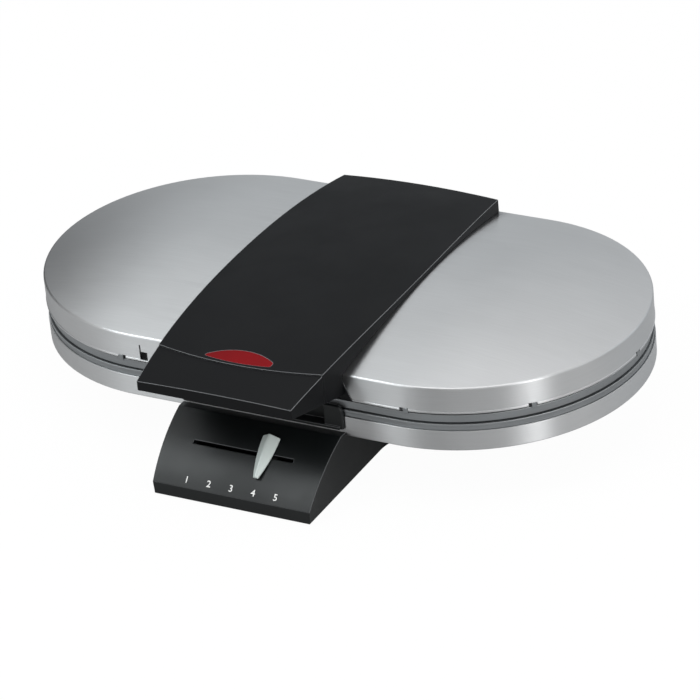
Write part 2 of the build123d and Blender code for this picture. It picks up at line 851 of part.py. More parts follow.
with BuildPart() as front_frame:
    with BuildSketch(front(-inner_front)):
        with Locations((0, frame_low)):
            Rectangle(2 * (half_straight - 4), frame_top - frame_low, align=(Align.CENTER, Align.MIN))
    extrude(amount=-(inner_front - frame_back))
    with BuildSketch(front(-half_width)):
        with BuildLine():
            Polyline(
                (-rim_cut_bottom + 3 * fit_gap, rim_low),
                (rim_cut_bottom - 3 * fit_gap, rim_low),
                (rim_cut_top - fit_gap, rim_cut_high - fit_gap),
                (-rim_cut_top + fit_gap, rim_cut_high - fit_gap),
                (-rim_cut_bottom + 3 * fit_gap, rim_low),
            )
        make_face()
    extrude(amount=-(half_width - frame_back))
    with BuildSketch(front(-half_width)):
        with Locations(*grip_screw_places):
            Circle(screw_radius + running_gap)
    extrude(amount=-grip_screw_length, mode=Mode.SUBTRACT)
    with BuildSketch(level(frame_top)):
        with Locations(*frame_screw_places):
            Circle(screw_radius + running_gap)
    extrude(amount=-20, mode=Mode.SUBTRACT)
save(front_frame.part, "front_frame")
save(screws(level(frame_top), frame_screw_places, -1, frame_screw_length), "frame_screws")


def band_outline(inset):
    """Barrel shaped plan outline of the band drawn in by inset."""
    with BuildSketch() as outline:
        with BuildLine():
            flank = ThreePointArc(
                (band_front_half, -band_front),
                (band_middle_half, band_middle_y),
                (band_rear_half, band_rear),
            )
            Line(flank @ 1, (0, band_rear))
            Line((0, -band_front), flank @ 0)
            mirror(about=Plane.YZ)
        make_face()
        if inset:
            offset(amount=-inset, kind=Kind.INTERSECTION)
    return outline.sketch


arch_margin = 4.0
arch_points = (
    (-band_front - arch_margin, band_front_z - arch_margin * 0.22, band_crown),
    (-band_front, band_front_z, band_crown),
    (band_shoulder_y, band_shoulder_z, band_crown),
    (band_peak_y, band_peak_z, band_crown),
    (band_rear_shoulder_y, band_rear_shoulder_z, band_rear_shoulder_crown),
    (band_rear, band_rear_z, band_rear_crown),
    (band_rear + arch_margin, band_rear_z - arch_margin * 0.16, band_rear_crown),
)


def arch_form(drop, low):
    """Everything under the band's crowned arch lowered by drop, down to the height low."""
    first_y = arch_points[0][0]
    last_y = arch_points[-1][0]
    with BuildPart() as form:
        for x, share in ((-band_middle_half - 1, 0), (0, 1), (band_middle_half + 1, 0)):
            with BuildSketch(side(x)):
                with BuildLine():
                    arch = Spline(*[(y, z - drop + share * crown) for y, z, crown in arch_points])
                    Polyline(arch @ 1, (last_y, low), (first_y, low), arch @ 0)
                make_face()
        loft()
    return form.part


def seam_face(shift):
    """Plan area in front of the seam, moved back by shift."""
    with BuildSketch() as area:
        with BuildLine():
            seam = ThreePointArc(
                (-seam_side_x, shift - seam_side),
                (0, shift - seam_middle),
                (seam_side_x, shift - seam_side),
            )
            start = (-band_middle_half - 9, shift - seam_side + 2)
            end = (band_middle_half + 9, shift - seam_side + 2)
            Line(seam @ 1, end)
            Polyline(end, (end[0], -2 * band_front), (start[0], -2 * band_front), start)
            Line(start, seam @ 0)
        make_face()
    return area.sketch


grip_tip_low = band_front_z - grip_tip_thickness
grip_back = half_width + 0.2


def under_grip(lift):
    """Side area under the grip's rising underside, lifted by lift."""
    with BuildSketch() as area:
        with BuildLine():
            slope = (grip_tip_low - grip_root_z) / (band_front - grip_back)
            tip = (-band_front - 5, grip_tip_low + 5 * slope + lift)
            root = (-half_width + 1, grip_root_z - (grip_back - half_width + 1) * slope + lift)
            Polyline(tip, root, (root[0], below_grip), (tip[0], below_grip), tip)
        make_face()
    return area.sketch


def lens_face(shrink):
    """Plan outline of the lamp window: its front edge follows the seam."""
    front_y = -seam_middle + lens_seam_distance
    side_y = front_y + lens_bow
    middle_x = (lens_left + lens_right) / 2
    with BuildSketch() as window:
        with BuildLine():
            near = ThreePointArc((lens_left, side_y), (middle_x, front_y), (lens_right, side_y))
            right_side = Line(near @ 1, (lens_right, side_y + lens_right_depth))
            far_left = (lens_left, side_y + lens_left_depth)
            far = ThreePointArc(right_side @ 1, (middle_x, front_y + lens_depth), far_left)
            Line(far @ 1, near @ 0)
        make_face()
        fillet(window.vertices().sort_by(Axis.X)[:2], lens_left_corner)
        fillet(window.vertices().sort_by(Axis.X)[-2:], lens_corner)
        if shrink:
            offset(amount=-shrink)
    return window.sketch


with BuildPart() as band_void:
    with BuildSketch(level(under_all)):
        add(band_outline(band_wall))
    extrude(amount=over_all)
    add(arch_form(band_wall, under_all), mode=Mode.INTERSECT)
    with BuildSketch(level(under_all)):
        with Locations(*band_screw_places):
            Circle(boss_radius)
    extrude(amount=over_all, mode=Mode.SUBTRACT)

with BuildPart() as top_band:
    with BuildSketch(level(under_all)):
        add(band_outline(0))
    extrude(amount=over_all)
    add(arch_form(0, under_all), mode=Mode.INTERSECT)
    add(band_void.part, mode=Mode.SUBTRACT)
    add(lid_form(-seat_gap, under_all), mode=Mode.SUBTRACT)
    with BuildSketch(side()):
        add(under_grip(0))
    extrude(amount=housing_length, both=True, mode=Mode.SUBTRACT)
    with BuildSketch(level(under_all)):
        add(seam_face(seam_gap))
    extrude(amount=over_all, mode=Mode.SUBTRACT)
    with BuildSketch(level(crease_z)):
        add(lens_face(0))
    extrude(amount=over_all, mode=Mode.SUBTRACT)
    with BuildSketch(level(under_all)):
        with Locations(*band_screw_places):
            Circle(screw_radius + running_gap)
    extrude(amount=band_screw_seat + band_screw_length - under_all + fit_gap, mode=Mode.SUBTRACT)
save(top_band.part, "top_band")
save(screws(level(band_screw_seat), band_screw_places, 1, band_screw_length), "band_screws")

with BuildPart() as lamp_lens:
    with BuildSketch(level(crease_z)):
        add(lens_face(0.1))
    extrude(amount=over_all)
    add(arch_form(0, under_all), mode=Mode.INTERSECT)
    add(arch_form(lens_thickness, under_all), mode=Mode.SUBTRACT)
save(lamp_lens.part, "lamp_lens")

with BuildPart() as grip_pocket:
    with BuildSketch(level(under_all)):
        add(band_outline(2 * band_wall + seat_gap))
    extrude(amount=over_all)
    with BuildSketch(level(under_all)):
        add(seam_face(2 * band_wall))
    extrude(amount=over_all, mode=Mode.SUBTRACT)
    with BuildSketch(side()):
        with Locations((-grip_back - band_wall, 0)):
            Rectangle(housing_width, housing_length, align=(Align.MAX, Align.CENTER))
    extrude(amount=housing_length, both=True, mode=Mode.INTERSECT)
    with BuildSketch(side()):
        add(under_grip(band_wall))
    extrude(amount=housing_length, both=True, mode=Mode.SUBTRACT)

with BuildPart() as grip_lip:
    with BuildSketch(level(under_all)):
        add(band_outline(0))
    extrude(amount=over_all)
    add(arch_form(grip_step, under_all), mode=Mode.INTERSECT)
    with BuildSketch(level(under_all)):
        add(seam_face(0))
    extrude(amount=over_all, mode=Mode.INTERSECT)

with BuildPart() as handle_grip:
    with BuildSketch(level(under_all)):
        add(band_outline(band_wall + seat_gap))
    extrude(amount=over_all)
    add(arch_form(lens_thickness + fit_gap, under_all), mode=Mode.INTERSECT)
    with BuildSketch(side()):
        with Locations((-grip_back, 0)):
            Rectangle(housing_width, housing_length, align=(Align.MAX, Align.CENTER))
    extrude(amount=housing_length, both=True, mode=Mode.INTERSECT)
    add(grip_pocket.part, mode=Mode.SUBTRACT)
    add(grip_lip.part)
    with BuildSketch(side()):
        add(under_grip(0))
    extrude(amount=housing_length, both=True, mode=Mode.SUBTRACT)
    with BuildSketch(front(-grip_back)):
        with Locations(*grip_screw_places):
            Circle(screw_radius + running_gap)
    extrude(amount=band_wall + 1, mode=Mode.SUBTRACT)
save(handle_grip.part, "handle_grip")
save(screws(front(-grip_back - band_wall), grip_screw_places, -1, grip_screw_length), "grip_screws")

lamp_y = lamp_setback - seam_middle
grip_slope = (grip_tip_low - grip_root_z) / (band_front - grip_back)
lamp_floor = grip_root_z + band_wall + (-lamp_y - grip_back) * grip_slope

with BuildPart() as signal_lamp:
    with BuildSketch(side(-lamp_length / 2)):
        with Locations((lamp_y, lamp_z)):
            Circle(lamp_radius)
    extrude(amount=lamp_length)
save(signal_lamp.part, "signal_lamp")

with BuildPart() as lamp_holder:
    holder_low = lamp_floor + 1.2
    with BuildSketch(level(holder_low)):
        with Locations((0, lamp_y)):
            Rectangle(lamp_length + 4, 2 * lamp_radius + 1)
    extrude(amount=lamp_z - holder_low)
    with BuildSketch(side()):
        with Locations((lamp_y, lamp_z)):
            Circle(lamp_radius + running_gap)
    extrude(amount=lamp_length / 2 + 0.2, both=True, mode=Mode.SUBTRACT)
save(lamp_holder.part, "lamp_holder")

# Hinge: ears on the base, arms on the lid, two steel pins
ear_places = (ear_inner + ear_width / 2, arm_middle_x + arm_bar_width / 2 + fit_gap + ear_width / 2)
block_front = half_width + seat_gap
block_low = pedestal_top + 0.2

with BuildPart() as hinge_bracket:
    with BuildSketch(side()):
        with BuildLine():
            Polyline(
                (block_front, block_low),
                (hinge_y + hinge_barrel, block_low),
                (hinge_y + hinge_barrel, hinge_block_top),
                (block_front, hinge_block_top),
                (block_front, block_low),
            )
        make_face()
    extrude(amount=ear_places[1] + ear_width / 2, both=True)
    fillet(hinge_bracket.edges().filter_by(Axis.Z).group_by(Axis.Y)[-1], 4.0)
    for edge in (-1, 1):
        for ear in ear_places:
            with BuildSketch(side(edge * ear)):
                with Locations((hinge_y, hinge_z)):
                    Circle(hinge_barrel)
                with Locations((hinge_y, hinge_z)):
                    ear_height = hinge_z - hinge_block_top + 1
                    Rectangle(2 * hinge_barrel, ear_height, align=(Align.CENTER, Align.MAX))
            extrude(amount=ear_width / 2, both=True)
    with BuildSketch(side()):
        with Locations((hinge_y, hinge_z)):
            Circle(hinge_pin_radius + running_gap)
    extrude(amount=housing_length, both=True, mode=Mode.SUBTRACT)
    with BuildSketch(front(half_width)):
        with Locations(*hinge_screw_places):
            Circle(screw_radius + running_gap)
    extrude(amount=-hinge_screw_length - 1, mode=Mode.SUBTRACT)
save(hinge_bracket.part, "hinge_bracket")

with BuildPart() as hinge_pins:
    for edge in (-1, 1):
        start = ear_inner - 1.5
        end = ear_places[1] + ear_width / 2 + 1.5
        with BuildSketch(side(edge * start)):
            with Locations((hinge_y, hinge_z)):
                Circle(hinge_pin_radius)
        extrude(amount=edge * (end - start))
        with BuildSketch(side(edge * end)):
            with Locations((hinge_y, hinge_z)):
                Circle(hinge_pin_radius + 1.2)
        extrude(amount=edge * 1.5)
save(hinge_pins.part, "hinge_pins")

arm_low_z = parting + 0.6

with BuildPart() as hinge_arms:
    with BuildSketch(level(arm_bar_top)):
        with Locations((0, arm_frame_front)):
            Rectangle(2 * arm_frame_half, inner_front - arm_frame_front, align=(Align.CENTER, Align.MIN))
    extrude(amount=frame_top - arm_bar_top)
    for edge in (-1, 1):
        with BuildSketch(side(edge * arm_middle_x)):
            with Locations((arm_frame_front, arm_low_z)):
                Rectangle(hinge_y - arm_frame_front, arm_bar_top - arm_low_z, align=(Align.MIN, Align.MIN))
            with Locations((hinge_y, hinge_z)):
                Circle(hinge_barrel)
            with Locations((hinge_y, hinge_z)):
                Circle(hinge_pin_radius + running_gap, mode=Mode.SUBTRACT)
        extrude(amount=arm_bar_width / 2, both=True)
    with BuildSketch(level(frame_top)):
        with Locations(*frame_screw_places):
            Circle(screw_radius + running_gap)
    extrude(amount=-20, mode=Mode.SUBTRACT)
save(hinge_arms.part, "hinge_arms")

# Slider: knob outside, carriage inside, joined by a neck through the slot
carriage_depth = pedestal_wall + 0.6
rail_depth = carriage_depth + carriage_thickness + fit_gap
knob_crown = knob_proud - knob_foot - knob_axis_height
knob_tip = knob_above_slot - knob_length
knob_middle = knob_above_slot - knob_length / 2
knob_sections = (
    (knob_above_slot, knob_width / 2),
    (knob_middle, knob_width / 2 * knob_waist),
    (knob_tip, knob_tip_width / 2),
)

# The knob is roof shaped: two flat flanks rise to a narrow ridge that runs down to its tip
with BuildPart() as knob_body:
    for along, half in knob_sections:
        ridge = knob_ridge / 2 * half / (knob_width / 2)
        crown = knob_crown * half / (knob_width / 2)
        with BuildSketch(Plane(origin=(0, along, 0), x_dir=(1, 0, 0), z_dir=(0, -1, 0))):
            with BuildLine():
                Polyline(
                    (-half, -knob_axis_height),
                    (half, -knob_axis_height),
                    (half, 0),
                    (ridge, crown),
                    (-ridge, crown),
                    (-half, 0),
                    (-half, -knob_axis_height),
                )
            make_face()
    loft()

with BuildPart() as slider_knob:
    turn = panel(-knob_foot - knob_axis_height, knob_x)
    with Locations(turn):
        add(knob_body.part)
    with BuildSketch(turn):
        Rectangle(arm_width, slot_width - 2 * neck_gap)
    extrude(amount=-(knob_axis_height + knob_foot + carriage_depth))
save(slider_knob.part, "slider_knob")

with BuildPart() as slider_carriage:
    with BuildSketch(panel(carriage_depth, knob_x)):
        Rectangle(carriage_width, carriage_height)
    extrude(amount=-carriage_thickness)
    with BuildSketch(side(knob_x)):
        with BuildLine():
            anchor = panel(carriage_depth + carriage_thickness / 2)
            drop = anchor.origin.Z - arm_low - arm_thickness / 2
            start_y = anchor.origin.Y - housing_y + drop * panel_normal[1] / panel_normal[0] + arm_setback
            Polyline(
                (start_y, arm_low),
                (nose_y - arm_width / 2, arm_low),
                (nose_y - arm_width / 2, arm_low + arm_thickness),
                (start_y, arm_low + arm_thickness),
                (start_y, arm_low),
            )
        make_face()
    extrude(amount=arm_width / 2, both=True)
    with BuildSketch(level(arm_low)):
        with Locations((knob_x, nose_y - arm_width / 2)):
            Circle(arm_width / 2)
    extrude(amount=arm_thickness)
save(slider_carriage.part, "slider_carriage")

with BuildPart() as slider_rail:
    with BuildSketch(panel(rail_depth)):
        Rectangle(rail_length, rail_height)
        with Locations((scale_shift, -rail_window_drop)):
            Rectangle(slot_length + 2, rail_window_height, mode=Mode.SUBTRACT)
    extrude(amount=-rail_thickness)
    with BuildSketch(panel(rail_depth)):
        with Locations((rail_boss_inset - rail_length / 2, 0), (rail_length / 2 - rail_boss_inset, 0)):
            Circle(rail_boss_radius)
    extrude(amount=rail_depth - pedestal_wall - seat_gap)
save(slider_rail.part, "slider_rail")

# Regulator: the slider's nose pushes a ramp, whose stem sets the thermostat
ramp_front = nose_y + 0.1
stem_z = arm_low + arm_thickness / 2
ramp_back = ramp_front + ramp_slope * (ramp_length / 2 + knob_x) + ramp_thickness

with BuildPart() as regulator_ramp:
    with BuildSketch(level(stem_z - ramp_height / 2)):
        with BuildLine():
            Polyline(
                (-ramp_length / 2, ramp_front + ramp_slope * (ramp_length / 2 + knob_x)),
                (ramp_length / 2, ramp_front - ramp_slope * (ramp_length / 2 - knob_x)),
                (ramp_length / 2, ramp_back),
                (-ramp_length / 2, ramp_back),
                (-ramp_length / 2, ramp_front + ramp_slope * (ramp_length / 2 + knob_x)),
            )
        make_face()
    extrude(amount=ramp_height)
    with BuildSketch(front(ramp_back)):
        with Locations((0, stem_z)):
            Circle(stem_radius)
    extrude(amount=-stem_length)
save(regulator_ramp.part, "regulator_ramp")

thermostat_front = ramp_back + ramp_slope * slider_half_travel + bushing_length + 1.5
thermostat_top = pedestal_top - pedestal_wall - 2.0

with BuildPart() as thermostat:
    with BuildSketch(front(thermostat_front)):
        with Locations((0, thermostat_top)):
            Rectangle(thermostat_size[0], thermostat_size[2], align=(Align.CENTER, Align.MAX))
    extrude(amount=-thermostat_size[1])
    with BuildSketch(front(thermostat_front)):
        with Locations((0, stem_z)):
            Circle(bushing_radius)
    extrude(amount=bushing_length)
    with BuildSketch(front(thermostat_front - bushing_length)):
        with Locations((0, stem_z)):
            Circle(stem_radius + running_gap)
    extrude(amount=-(bushing_length + thermostat_size[1] - 3), mode=Mode.SUBTRACT)
save(thermostat.part, "thermostat")

with BuildPart() as thermostat_bracket:
    with BuildSketch(level(thermostat_top)):
        with Locations((0, thermostat_front)):
            bracket_width = thermostat_size[0] + 2 * bracket_ear
            Rectangle(bracket_width, thermostat_size[1], align=(Align.CENTER, Align.MIN))
    extrude(amount=pedestal_top - pedestal_wall - thermostat_top)
save(thermostat_bracket.part, "thermostat_bracket")

# Cord gland, terminal block and thermal fuse
with BuildPart() as cord_gland:
    gland_outer = pedestal_rear + (gland_height + gland_flange) * sin(radians(pedestal_draft)) + 0.1
    with BuildSketch(front(gland_outer)):
        with Locations((0, gland_height)):
            Circle(gland_flange)
    extrude(amount=-gland_flange_depth)
    with BuildSketch(front(gland_outer)):
        with Locations((0, gland_height)):
            Circle(gland_radius)
    extrude(amount=gland_length - gland_flange_depth)
    with BuildSketch(front(gland_outer - gland_length + gland_flange_depth)):
        with Locations((0, gland_height)):
            Circle(gland_bore)
    extrude(amount=-gland_length, mode=Mode.SUBTRACT)
save(cord_gland.part, "cord_gland")

with BuildPart() as terminal_block:
    with BuildSketch(level(floor_top)):
        with Locations((0, terminal_y)):
            Rectangle(terminal_size[0], terminal_size[1])
    extrude(amount=terminal_size[2])
    with BuildSketch(front(terminal_y - terminal_size[1] / 2)):
        with Locations((0, floor_top + terminal_size[2] / 2)):
            with GridLocations(terminal_pitch, 1, 3, 1):
                Circle(terminal_hole)
    extrude(amount=-terminal_size[1], mode=Mode.SUBTRACT)
save(terminal_block.part, "terminal_block")

with BuildPart() as thermal_fuse:
    with BuildSketch(front(fuse_y - fuse_length / 2)):
        with Locations((0, reflector_top + fuse_radius)):
            Circle(fuse_radius)
    extrude(amount=-fuse_length)
save(thermal_fuse.part, "thermal_fuse")
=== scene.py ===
# %% [markdown]
# # A double waffle iron
# The solids of this appliance come in as a fixed frame, already at their real size in metres.
# Here they get their finishes, a floor, soft light and a camera. X runs along the housing,
# -Y points to the front, where the grip and the slider are, and Z is up.

# %% Load the fixed frame
from math import cos, pi, radians, sin

import bmesh
import bpy
from mathutils import Matrix, Vector


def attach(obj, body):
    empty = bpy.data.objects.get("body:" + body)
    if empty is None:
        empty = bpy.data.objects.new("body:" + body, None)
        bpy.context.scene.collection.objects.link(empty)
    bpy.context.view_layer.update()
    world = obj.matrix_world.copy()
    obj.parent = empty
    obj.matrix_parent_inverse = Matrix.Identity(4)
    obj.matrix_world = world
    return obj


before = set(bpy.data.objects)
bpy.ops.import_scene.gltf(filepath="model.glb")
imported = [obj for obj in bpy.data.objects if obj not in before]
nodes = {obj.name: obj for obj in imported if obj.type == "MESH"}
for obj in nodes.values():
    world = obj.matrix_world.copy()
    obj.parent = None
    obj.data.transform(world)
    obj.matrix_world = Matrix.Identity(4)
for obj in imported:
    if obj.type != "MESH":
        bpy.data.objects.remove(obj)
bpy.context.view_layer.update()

# %% [markdown]
# ## The camera
# A long lens from the right and above. The angles are those of a photographer standing some
# two and a half metres away, and the small roll is the tilt of their tripod. Right, up and
# back are built as three unit vectors and become the columns of the camera's matrix.

# %% Camera
AZIMUTH, ELEVATION, ROLL = radians(30.60), radians(29.05), radians(-5.61)
DISTANCE, FARTHEST = 2.57322, 50.0
LENS, SENSOR = 215.55, 36.0
HOUSING_MIDDLE_Y = 0.019825
aim = Vector((0.02141, HOUSING_MIDDLE_Y - 0.03661, 0.04954))

back = Vector((sin(AZIMUTH) * cos(ELEVATION), -cos(AZIMUTH) * cos(ELEVATION), sin(ELEVATION)))
level_right = (-back).cross(Vector((0, 0, 1))).normalized()
level_up = back.cross(level_right)
right = cos(ROLL) * level_right + sin(ROLL) * level_up
up = cos(ROLL) * level_up - sin(ROLL) * level_right
turn = Matrix((right, up, back)).transposed()

camera_data = bpy.data.cameras.new("camera")
camera_data.sensor_width = SENSOR
camera_data.lens = LENS
camera_data.clip_end = FARTHEST
camera = bpy.data.objects.new("camera", camera_data)
camera.matrix_world = Matrix.LocRotScale(aim + DISTANCE * back, turn.to_quaternion(), None)
bpy.context.scene.collection.objects.link(camera)
bpy.context.scene.camera = camera
bpy.context.scene.view_settings.view_transform = "Standard"
print("camera at", [round(c, 3) for c in camera.matrix_world.translation])

# %% [markdown]
# ## Colours and nodes
# A colour is written as the hex value that the eye would pick from a swatch. Shaders count in
# linear light, so one function takes the display curve out. Another adds a node with its
# settings, values and links, and every material below is made with it. Two more start a
# material and give it to the nodes that wear it.


# %% Helpers for materials
def linear(swatch):
    """Linear RGBA of a hex colour such as #C0C4C4."""
    shown = [int(swatch[i : i + 2], 16) / 255 for i in (1, 3, 5)]
    light = [c / 12.92 if c <= 0.04045 else ((c + 0.055) / 1.055) ** 2.4 for c in shown]
    return (*light, 1.0)


def add(tree, kind, values=None, links=None, **settings):
    """New node: settings are its properties, values its sockets, links what feeds them."""
    made = tree.nodes.new(kind)
    for name, value in settings.items():
        setattr(made, name, value)
    for name, value in (values or {}).items():
        made.inputs[name].default_value = value
    for name, source in (links or {}).items():
        tree.links.new(source, made.inputs[name])
    return made


def surface(name, **values):
    """New material with a Principled shader, whose plain sockets are set here."""
    material = bpy.data.materials.new(name)
    material.use_nodes = True
    shader = material.node_tree.nodes["Principled BSDF"]
    for socket, value in values.items():
        shader.inputs[socket.replace("_", " ")].default_value = value
    return material, material.node_tree, shader


def wear(nodes_to_wear, material):
    """Gives the material to the frame's nodes of these names."""
    for name in nodes_to_wear:
        piece = nodes[name]
        piece.data.materials.clear()
        piece.data.materials.append(material)
    print(material.name, "on", *nodes_to_wear)


print("mid grey in linear light", [round(channel, 3) for channel in linear("#808080")[:3]])

# %% [markdown]
# ## Brushed stainless steel
# The two housing halves are drawn sheet, ground with a belt. The belt runs along the lid and
# round the rim, and leaves hair lines a few tenths of a millimetre apart. A lamp is smeared
# across such lines, so the rim shows upright streaks while the dome only changes slowly. The
# shader's anisotropy does this, and its tangent is the direction across the lines. The wide
# top was ground with a finer belt than the rim, so it is a little smoother. The lines
# themselves are drawn about half a millimetre apart, as fine as the picture can show them,
# and fifty times as long as they are wide. Slow clouds of some seven centimetres keep the
# sheet from looking printed.

# %% Brushed stainless steel
MM = 0.001
UPWARD_ABOVE = 0.75
WIDTH_TO_LENGTH = 0.02
SHEET_CLOUD = 71.43 * MM
SHEET_TINT = {"From Min": 0.6, "From Max": 1.4, "To Min": 0.94, "To Max": 1.05}
HAIR_ROUGHNESS, HAIR_ROUGHNESS_BELOW = 0.09, 0.04
HAIR_RELIEF, HAIR_RELIEF_SHARE = 0.02 * MM, 0.25


def brushed_steel(
    name, swatch, roughness, hair_mm, anisotropy, edge_mm=0.5, flat_roughness=None
):
    """Sheet with hair lines along X on upward faces and level on upright ones.

    flat_roughness is the roughness of its upward faces, where it differs.
    """
    material, tree, shader = surface(
        name, Metallic=1.0, Roughness=roughness, Anisotropic=anisotropy
    )
    place = add(tree, "ShaderNodeTexCoord").outputs["Object"]
    facing = add(tree, "ShaderNodeNewGeometry").outputs["Normal"]
    rise = add(tree, "ShaderNodeSeparateXYZ", None, {0: facing}).outputs["Z"]
    steep = add(tree, "ShaderNodeMath", None, {0: rise}, operation="ABSOLUTE").outputs[0]
    flat = add(
        tree, "ShaderNodeMath", {1: UPWARD_ABOVE}, {0: steep}, operation="GREATER_THAN"
    ).outputs[0]
    level = add(
        tree,
        "ShaderNodeVectorMath",
        {0: (0, 0, 1)},
        {1: facing},
        operation="CROSS_PRODUCT",
    ).outputs[0]
    line = add(
        tree,
        "ShaderNodeMix",
        {"B": (1, 0, 0)},
        {"Factor": flat, "A": level},
        data_type="VECTOR",
    )
    across = add(
        tree,
        "ShaderNodeVectorMath",
        None,
        {0: facing, 1: line.outputs["Result"]},
        operation="CROSS_PRODUCT",
    ).outputs[0]
    pace = 1 / (hair_mm * MM)
    along = WIDTH_TO_LENGTH * pace
    stretch = add(
        tree,
        "ShaderNodeMix",
        {"A": (along, along, pace), "B": (along, pace, along)},
        {"Factor": flat},
        data_type="VECTOR",
    )
    grain = add(
        tree,
        "ShaderNodeVectorMath",
        None,
        {0: place, 1: stretch.outputs["Result"]},
        operation="MULTIPLY",
    ).outputs[0]
    hair = add(
        tree, "ShaderNodeTexNoise", {"Scale": 1.0, "Detail": 3.0}, {"Vector": grain}
    ).outputs["Fac"]
    cloud = add(
        tree,
        "ShaderNodeTexNoise",
        {"Scale": 1 / SHEET_CLOUD, "Detail": 2.0},
        {"Vector": place},
    ).outputs["Fac"]
    both = add(tree, "ShaderNodeMath", None, {0: hair, 1: cloud}, operation="ADD").outputs[0]
    tint = add(tree, "ShaderNodeMapRange", SHEET_TINT, {"Value": both}).outputs["Result"]
    base = add(
        tree,
        "ShaderNodeVectorMath",
        {0: linear(swatch)[:3]},
        {"Scale": tint},
        operation="SCALE",
    )
    upright_start = roughness - HAIR_ROUGHNESS_BELOW
    flat_start = (flat_roughness or roughness) - HAIR_ROUGHNESS_BELOW
    ground = add(
        tree,
        "ShaderNodeMix",
        {"A": upright_start, "B": flat_start},
        {"Factor": flat},
        data_type="FLOAT",
    )
    rough = add(
        tree,
        "ShaderNodeMath",
        {1: HAIR_ROUGHNESS},
        {0: hair, 2: ground.outputs["Result"]},
        operation="MULTIPLY_ADD",
    ).outputs[0]
    edge = add(tree, "ShaderNodeBevel", {"Radius": edge_mm * MM}, samples=6).outputs["Normal"]
    relief = add(
        tree,
        "ShaderNodeBump",
        {"Strength": HAIR_RELIEF_SHARE, "Distance": HAIR_RELIEF},
        {"Height": hair, "Normal": edge},
    ).outputs["Normal"]
    tree.links.new(base.outputs["Vector"], shader.inputs["Base Color"])
    tree.links.new(rough, shader.inputs["Roughness"])
    tree.links.new(relief, shader.inputs["Normal"])
    tree.links.new(across, shader.inputs["Tangent"])
    return material


# %% Steel housing
shell_steel = brushed_steel(
    "brushed stainless steel", "#C3C4C5", 0.4, 0.5, 0.95, flat_roughness=0.3
)
wear(["lid_shell", "lower_shell"], shell_steel)

# %% [markdown]
# ## Moulded plastics
# The black parts are injection moulded. The mould's spark-eroded skin gives a grain of about
# a third of a millimetre, too low to see as bumps but enough to spread the highlights, and
# it keeps the plastic from mirroring the pale floor. Moulded edges are never sharp, and their
# small radius catches the lamp as a thin light line, so the shading normal is rounded there.
# The pedestal came from a smoother mould than the band and its grip. Edges that look
# upward, but not straight up, get a painted highlight: a pale line that stands in for the
# light their small radius catches. The knob is lacquered and shines a little more, the feet
# are dull rubber, and the ceramic parts inside are unglazed and chalky.

# %% Moulded plastics
PLASTIC_CLOUD = 40 * MM
CLOUD_SPAN = {"From Min": 0.3, "From Max": 0.7}
CLOUD_ROUGHNESS = 0.05
GRAIN_RELIEF_SHARE = 0.5
# These three ranges place the painted edge highlight: on edges, on faces looking upward, and
# not on faces looking straight up.
TURNS_AWAY = {"From Min": 0.995, "From Max": 0.88}
LOOKS_UP = {"From Min": 0.12, "From Max": 0.3}
NOT_STRAIGHT_UP = {"From Min": 0.93, "From Max": 0.8}


